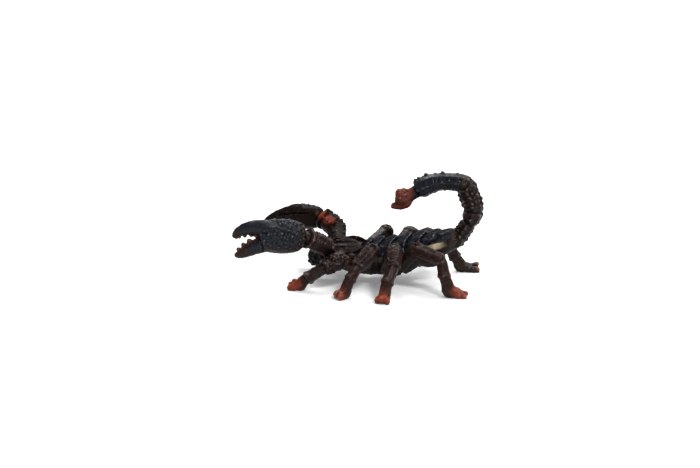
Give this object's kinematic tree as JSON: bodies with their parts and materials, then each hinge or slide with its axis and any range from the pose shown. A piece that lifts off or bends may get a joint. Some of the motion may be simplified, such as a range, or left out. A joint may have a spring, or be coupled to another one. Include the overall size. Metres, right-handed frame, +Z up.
{
  "type": "moulded scorpion figure",
  "caption": "Moulded vinyl scorpion figure that stands free on splayed flat-soled legs, pincers held out in front and a knobbly tail curled forward over a plated back.",
  "frame": {"origin": "on the table, under the middle of the figure's bounding box", "axes": "+Z up; +X runs from the head to the tail, so the head faces -X; the animal's left side is -Y"},
  "size_m": [0.1158, 0.084, 0.0549],
  "materials": {
    "shell": "satin slate-blue paint over dark brown vinyl, dry-brushed pale on the raised edges",
    "tail": "satin dark brown vinyl, blue-black at the far end, terracotta sting",
    "pincer": "satin blue-black paint over dark brown vinyl, red-brown teeth",
    "limb": "satin dark purplish brown vinyl, orange-red feet",
    "jaw": "satin black"
  },
  "bodies": {
    "root": {"trunk": "shell", "tail": "tail", "left_pincer_arm": "pincer", "right_pincer_arm": "pincer", "left_jaw": "jaw", "right_jaw": "jaw", "left_leg_1": "limb", "left_leg_2": "limb", "left_leg_3": "limb", "left_leg_4": "limb", "right_leg_1": "limb", "right_leg_2": "limb", "right_leg_3": "limb", "right_leg_4": "limb"}
  },
  "joints": []
}
